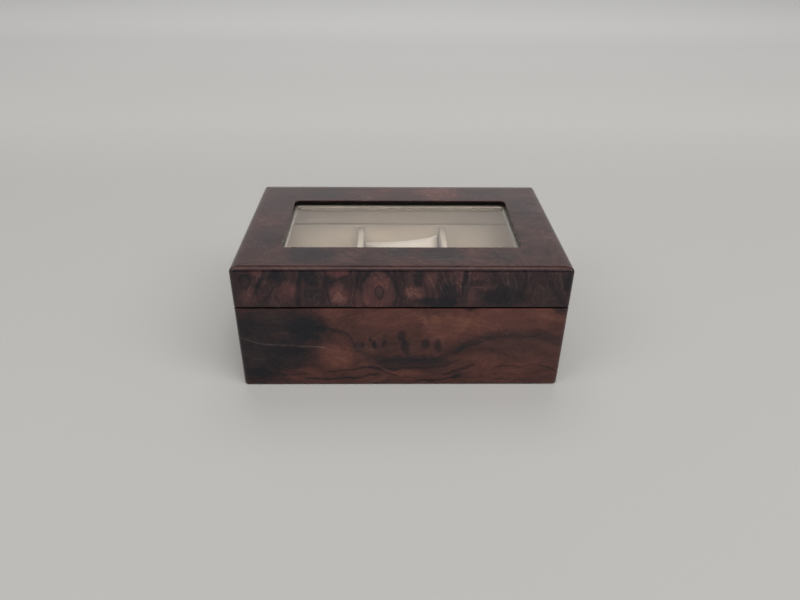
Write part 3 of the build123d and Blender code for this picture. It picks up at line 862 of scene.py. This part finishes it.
PAINTED_BOARD = painted_board("painted_board", 0.5)
LACQUERED_BOARD = painted_board("lacquered_board", 0.2)
LINING = velvet("velvet_lining", (0.55, 0.45, 0.352))
# The dividers and the ceiling ledge wear darker copies of the lining velvet: painted shade on surfaces that
# catch more light from above.
SHADED_DIVIDER_VELVET = velvet("velvet_divider", (0.345, 0.286, 0.232))
# its painted_shade paints shade on the ceiling ledges at the window's sides
SHADED_CEILING_VELVET = velvet("velvet_ceiling", (0.26, 0.22, 0.185), brushed=0.4, tuft=0.4,
                        depth=LONG_PILE_DEPTH, painted_shade=0.3)
PILLOW = velvet("pillow_velvet", (0.45, 0.385, 0.32), sheen=0.3, brushed=0.18, tuft=0.12)
FELT = velvet("underside_felt", (0.022, 0.020, 0.020), sheen=0.1, brushed=0.4, tuft=0.6,
              depth=LONG_PILE_DEPTH)
GLASS = clear_glass()
BRASS = brass("hinge_brass", 0.18, 0.12)
SCREW_BRASS = brass("screw_brass", 0.26, 0.05)

FINISH_OF_SLOT = {
    "dark_board": PAINTED_BOARD,
    "velvet_lining": LINING,
    "pillow_velvet": PILLOW,
    "pillow_filling": PILLOW,
    "underside_felt": FELT,
    "window_glass": GLASS,
    "hinge_brass": BRASS,
}
FINISH_OF_NODE = {  # where it isn't its slot's
    "base_hinge_screws": SCREW_BRASS,
    "lid_hinge_screws": SCREW_BRASS,
    # darker copies of the lining velvet, for painted shade
    "left_divider": SHADED_DIVIDER_VELVET,
    "right_divider": SHADED_DIVIDER_VELVET,
    "ceiling_board": SHADED_CEILING_VELVET,
    "lid_top_panel": LACQUERED_BOARD,
    "lid_front_veneer": LID_FRONT,
    "base_front_veneer": BASE_FRONT,
    "lid_top_veneer": LID_TOP,
    **SIDES,
}


def dress(name, material):
    mesh = NODES[name].data
    mesh.materials.clear()
    mesh.materials.append(material)


for part in frame["record"]["subparts"]:
    finish = FINISH_OF_NODE.get(part["node"]) or FINISH_OF_SLOT[part["material_slot"]]
    dress(part["node"], finish)


# ---------------- pillows

CUT_SIZE = Vector((54.0, 83.0, 30.0))  # a cover before it is stuffed
CELL = 2.5  # of the cover's grid
CREASING = 0.5  # how far the cut panels are from flat
CREASE_SCALE = 0.12
STUFFING = 4.0
SIM_SCALE = 10.0  # cloth settles best on a model half a metre long
SIM_FRAMES = 20
QUICK_SWELL = (3.0, 2.0, 8.0)
EAR_REACH = 9.0
EAR_PULL = Vector((2.2, 0.8, 1.8))
SEAM_CREASE = 0.6
NOISE_SEED = 1  # so that the creases are the same each run
SEED_STEP = 10  # so that no two pillows are creased alike
WELT_RADIUS = 0.4
WELT_SIDES = 8
REST_GAP = 0.2  # a pillow stays this far from what it leans on
SOFT_CONTACT = 1.2  # how near it comes before its surface gives way
FABRIC = {
    "quality": 8,
    "mass": 0.15,
    "tension_stiffness": 25,
    "compression_stiffness": 8,
    "shear_stiffness": 8,
    "bending_stiffness": 0.3,
    "tension_damping": 10,
    "compression_damping": 10,
    "shear_damping": 8,
    "bending_damping": 1,
    "air_damping": 2,
    "use_pressure": True,
    "uniform_pressure_force": STUFFING,
}
PILLOW_LIES = {  # degrees of pitch and roll, and the move from its solid
    "left": (0.0, 0.0, Vector((0.0, 0.0, -2.3))),
    "centre": (3.0, -6.0, Vector((1.3, 0.0, -0.9))),
    "right": (0.0, 0.0, Vector((0.0, 0.0, -2.3))),
}


def cut_cover(seed):
    """A cover's panels as one closed grid in millimetres about its middle.

    Returns the mesh, the two loops of vertices where the end panels are sewn in, and the eight
    corners.
    """
    counts = [round(size / CELL) for size in CUT_SIZE]
    nx, ny, nz = counts
    cover = bmesh.new()
    grid = {}

    def vertex(*step):
        if step not in grid:
            place = Vector([(s / n - 0.5) * size for s, n, size in zip(step, counts, CUT_SIZE)])
            place += noise.noise_vector(place * CREASE_SCALE + Vector((seed, 0, 0))) * CREASING
            grid[step] = cover.verts.new(place)
        return grid[step]

    def panel(across, up, step, outward):
        for a in range(across):
            for b in range(up):
                face = [vertex(*step(a + da, b + db)) for da, db in ((0, 0), (1, 0), (1, 1), (0, 1))]
                cover.faces.new(face if outward else face[::-1])

    for end in (0, 1):
        panel(nx, ny, lambda a, b: (a, b, end * nz), end == 1)
        panel(nx, nz, lambda a, b: (a, end * ny, b), end == 0)
        panel(ny, nz, lambda a, b: (end * nx, a, b), end == 1)
    cover.verts.index_update()
    seams = []
    for j in (0, ny):
        loop = [(i, j, 0) for i in range(nx)] + [(nx, j, k) for k in range(nz)]
        loop += [(i, j, nz) for i in range(nx, 0, -1)] + [(0, j, k) for k in range(nz, 0, -1)]
        seams.append([grid[step].index for step in loop])
    corners = [grid[i, j, k].index for i in (0, nx) for j in (0, ny) for k in (0, nz)]
    mesh = bpy.data.meshes.new("cover")
    cover.to_mesh(mesh)
    cover.free()
    return mesh, seams, corners


def stuff(covers):
    """Blows the covers up with cloth simulation, and returns them as plain meshes."""
    loose = []
    for cover in covers:
        cover.transform(Matrix.Scale(SIM_SCALE * MM, 4))
        piece = new_object("loose_cover", cover)
        cloth = piece.modifiers.new("cloth", "CLOTH")
        for name, value in FABRIC.items():
            setattr(cloth.settings, name, value)
        cloth.settings.effector_weights.gravity = 0
        cloth.collision_settings.use_collision = False
        cloth.point_cache.frame_start = 1
        cloth.point_cache.frame_end = SIM_FRAMES
        loose.append(piece)
    for moment in range(1, SIM_FRAMES + 1):
        bpy.context.scene.frame_set(moment)
    graph = bpy.context.evaluated_depsgraph_get()
    stuffed = [bpy.data.meshes.new_from_object(piece.evaluated_get(graph)) for piece in loose]
    for piece, mesh in zip(loose, stuffed):
        bpy.data.objects.remove(piece)
        mesh.transform(Matrix.Scale(1 / (SIM_SCALE * MM), 4))
    bpy.context.scene.frame_set(1)
    return stuffed


def swell(cover):
    for vertex in cover.vertices:
        share = [2 * place / size for place, size in zip(vertex.co, CUT_SIZE)]
        for axis, height in enumerate(QUICK_SWELL):
            crown = [max(0.0, 1 - share[other] ** 2) for other in range(3) if other != axis]
            vertex.co[axis] += height * share[axis] * crown[0] * crown[1]
    return cover


def pull_ears(mesh, corners):
    """The cover's corners hold no stuffing, and stand out."""
    tips = [mesh.vertices[c].co.copy() for c in corners]
    for vertex in mesh.vertices:
        for tip in tips:
            near = max(0.0, 1 - (vertex.co - tip).length / EAR_REACH)
            pull = [reach if side > 0 else -reach for reach, side in zip(EAR_PULL, tip)]
            vertex.co += Vector(pull) * near * near


def subdivided(mesh, seams):
    """The mesh with one subdivision, its sewn edges kept crisp."""
    sewn = {frozenset(pair) for loop in seams for pair in zip(loop, loop[1:] + loop[:1])}
    crease = mesh.attributes.new("crease_edge", "FLOAT", "EDGE")
    for edge in mesh.edges:
        if frozenset(edge.vertices) in sewn:
            crease.data[edge.index].value = SEAM_CREASE
    piece = new_object("subdivided_cover", mesh)
    smooth = piece.modifiers.new("smooth", "SUBSURF")
    smooth.levels = 1
    graph = bpy.context.evaluated_depsgraph_get()
    finer = bpy.data.meshes.new_from_object(piece.evaluated_get(graph))
    bpy.data.objects.remove(piece)
    return finer


def add_welts(mesh, seams):
    """A thin rolled edge along each end panel's seam."""
    cover = bmesh.new()
    cover.from_mesh(mesh)
    cover.verts.ensure_lookup_table()
    lines = [[cover.verts[v].co.copy() for v in loop] for loop in seams]
    for line in lines:
        middle = sum(line, Vector()) / len(line)
        rings = []
        for before, place, after in zip(line[-1:] + line, line, line[1:] + line[:1]):
            along = (after - before).normalized()
            out = place - middle
            out = (out - along * out.dot(along)).normalized()
            side = along.cross(out)
            turns = [2 * pi * n / WELT_SIDES for n in range(WELT_SIDES)]
            rings.append([
                cover.verts.new(place + (out * cos(turn) + side * sin(turn)) * WELT_RADIUS)
                for turn in turns
            ])
        for ring, following in zip(rings, rings[1:] + rings[:1]):
            for n in range(WELT_SIDES):
                m = (n + 1) % WELT_SIDES
                cover.faces.new((ring[n], ring[m], following[m], following[n]))
    bmesh.ops.recalc_face_normals(cover, faces=cover.faces)
    for face in cover.faces:
        face.smooth = True
    cover.to_mesh(mesh)
    cover.free()


def eased(distance):
    """How far from a wall the soft surface stays, when it would reach this far from it."""
    if distance > SOFT_CONTACT:
        return distance
    return SOFT_CONTACT * exp(distance / SOFT_CONTACT - 1)


def settle(mesh, low, high):
    """Flattens the pillow where it rests on the floor, the dividers and the lining."""
    for vertex in mesh.vertices:
        for axis in range(3):
            lowest = low[axis] + REST_GAP
            highest = high[axis] - REST_GAP
            place = lowest + eased(vertex.co[axis] - lowest)
            vertex.co[axis] = highest - eased(highest - place)


def compartments():
    """The room for each pillow, in millimetres: its lowest and its highest corner."""
    floor_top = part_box("floor_pad")[1][2]
    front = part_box("base_front_lining")[1][1]
    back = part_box("base_back_lining")[0][1]
    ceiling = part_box("ceiling_board")[0][2]
    walls = {
        "left": (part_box("base_left_lining")[1][0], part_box("left_divider")[0][0]),
        "centre": (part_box("left_divider")[1][0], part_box("right_divider")[0][0]),
        "right": (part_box("right_divider")[1][0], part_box("base_right_lining")[0][0]),
    }
    return {
        side: (Vector((x0, front, floor_top)) / MM, Vector((x1, back, ceiling)) / MM)
        for side, (x0, x1) in walls.items()
    }


def make_pillows():
    """Cuts, stuffs and sews the three pillows, and lays each in its compartment."""
    noise.seed_set(NOISE_SEED)
    rooms = compartments()
    cut = [cut_cover(SEED_STEP * n) for n in range(len(rooms))]
    covers = [cover for cover, seams, corners in cut]
    covers = stuff(covers)
    for (side, room), cover, (uncut, seams, corners) in zip(rooms.items(), covers, cut):
        pull_ears(cover, corners)
        cover = subdivided(cover, seams)
        add_welts(cover, seams)
        pitch, roll, move = PILLOW_LIES[side]
        low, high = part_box(f"{side}_pillow_cover")
        middle = (Vector(low) + Vector(high)) / 2 / MM + move
        lean = Matrix.Rotation(radians(pitch), 4, "X") @ Matrix.Rotation(radians(roll), 4, "Y")
        cover.transform(Matrix.Translation(middle) @ lean)
        settle(cover, *room)
        cover.transform(Matrix.Scale(MM, 4))
        cover.materials.append(PILLOW)
        pillow = new_object(f"{side}_pillow_cushion", cover)
        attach(pillow, f"{side}_pillow")
        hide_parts(f"{side}_pillow_cover", f"{side}_pillow_filling")


make_pillows()


# ---------------- stage

FLOOR_PAINTED_LIGHT = [  # painted light: darker near the box, lighter farther behind it; share of the way from NEAR to FAR behind the box
    (0.00, (0.428, 0.418, 0.400)),
    (0.06, (0.440, 0.430, 0.412)),
    (0.17, (0.500, 0.492, 0.474)),
    (0.35, (0.515, 0.507, 0.492)),
    (0.60, (0.560, 0.552, 0.540)),
    (0.80, (0.660, 0.652, 0.640)),
    (1.00, (0.720, 0.712, 0.700)),
]
NEAR, FAR = 0.0, 2.0
FLOOR_SIZE = 5.6
FLOOR_SHIFT = 0.3
SOFTBOXES = {  # place, size, power
    "key": ((1.95, -1.35, 2.6), (1.6, 2.2), 42),
    "fill": ((-1.95, -1.35, 2.6), (1.6, 2.2), 26),
    "overhead": ((0.0, 1.16, 2.68), (1.7, 1.4), 17),
    "front": ((0.2, -1.9, 3.2), (2.0, 1.6), 73),
    "behind": ((0.0, 2.5, 1.05), (3.3, 1.1), 4.6),
}
PLAIN_FILLS = ("front",)  # kept out of the lacquer's reflections
LAMPS_AIM = Vector((0.0, 0.0, 0.05))
CARD_CENTRE = Vector((0.0, 1.685, 1.414))
CARD_WIDTH = 3.4
CARD_DEPTH = 0.46
AIR = (0.20, 0.20, 0.20, 1)  # the room's own light
BACKDROP = (0.56, 0.553, 0.545, 1)  # what is seen past the floor's end
BACKDROP_TOP = (0.17, 0.33)  # sine of the angle where it starts and ends fading


def lay_floor():
    """Pale paper with painted light: a little lighter farther behind the box, darker near it."""
    bpy.ops.mesh.primitive_plane_add(size=FLOOR_SIZE, location=(0, FLOOR_SHIFT, 0))
    floor = bpy.context.object
    floor.name = "floor"
    material, tree, shader = new_material("floor_paper_painted_light")
    behind = split(tree, node(tree, "ShaderNodeTexCoord").outputs["Object"])["Y"]
    away = smooth_range(tree, behind, NEAR - FLOOR_SHIFT, FAR - FLOOR_SHIFT)
    fill(tree, shader, {"Base Color": colour_ramp(tree, away, FLOOR_PAINTED_LIGHT), "Roughness": 0.9})
    floor.data.materials.append(material)


def hang_softbox(name, place, size, power):
    light = bpy.data.lights.new(name, "AREA")
    light.shape = "RECTANGLE"
    light.size, light.size_y = size
    light.energy = power
    lamp = new_object(name, light)
    lamp.location = place
    lamp.rotation_euler = (LAMPS_AIM - Vector(place)).to_track_quat("-Z", "Y").to_euler()
    lamp.visible_glossy = name not in PLAIN_FILLS


def hang_black_card():
    """A card that faces the box. The lid's rounded edges mirror it as a dark line."""
    sheet = bmesh.new()
    across = Vector((CARD_WIDTH / 2, 0, 0))
    upright = CARD_CENTRE.cross(across).normalized() * CARD_DEPTH / 2
    corners = [CARD_CENTRE + a * across + b * upright for a, b in ((-1, -1), (1, -1), (1, 1), (-1, 1))]
    sheet.faces.new([sheet.verts.new(corner) for corner in corners])
    mesh = bpy.data.meshes.new("black_card")
    sheet.to_mesh(mesh)
    sheet.free()
    card = new_object("black_card", mesh)
    material, tree, shader = new_material("black_card")
    fill(tree, shader, {"Base Color": (0.01, 0.01, 0.01, 1), "Roughness": 1.0})
    mesh.materials.append(material)


def light_the_air():
    """Even light from all round, and a pale backdrop that is only seen, not a lamp."""
    world = bpy.data.worlds.new("studio")
    world.use_nodes = True
    tree = world.node_tree
    height = split(tree, node(tree, "ShaderNodeTexCoord").outputs["Generated"])["Z"]
    low = smooth_range(tree, height, *BACKDROP_TOP, 1.0, 0.0)
    ray = node(tree, "ShaderNodeLightPath").outputs
    seen = maths(tree, "MAXIMUM", ray["Is Camera Ray"], ray["Is Glossy Ray"])
    seen = maths(tree, "MAXIMUM", seen, ray["Is Transmission Ray"])
    colour = mix_colour(tree, times(tree, low, seen), AIR, BACKDROP)
    tree.links.new(colour, tree.nodes["Background"].inputs["Color"])
    bpy.context.scene.world = world


lay_floor()
for name, (place, size, power) in SOFTBOXES.items():
    hang_softbox(name, place, size, power)
hang_black_card()
light_the_air()


# ---------------- camera

CAMERA_PLACE = Vector((-7.1, -385.3, 259.7)) * MM
CAMERA_PITCH = radians(31.47)  # downwards
CAMERA_YAW = radians(1.04)  # to the right
CAMERA_ROLL = radians(0.55)  # anticlockwise
FOCAL_SHARE = 637.7 / 800  # focal length over the picture's width
SENSOR = 36.0
CLIP_START = 0.01

camera_data = bpy.data.cameras.new("camera")
camera_data.sensor_width = SENSOR
camera_data.lens = SENSOR * FOCAL_SHARE
camera_data.clip_start = CLIP_START
camera = new_object("camera", camera_data)
turn = (
    Matrix.Rotation(-CAMERA_YAW, 4, "Z")
    @ Matrix.Rotation(pi / 2 - CAMERA_PITCH, 4, "X")
    @ Matrix.Rotation(CAMERA_ROLL, 4, "Z")
)
camera.matrix_world = Matrix.Translation(CAMERA_PLACE) @ turn
bpy.context.scene.camera = camera
bpy.context.scene.view_settings.view_transform = "Standard"
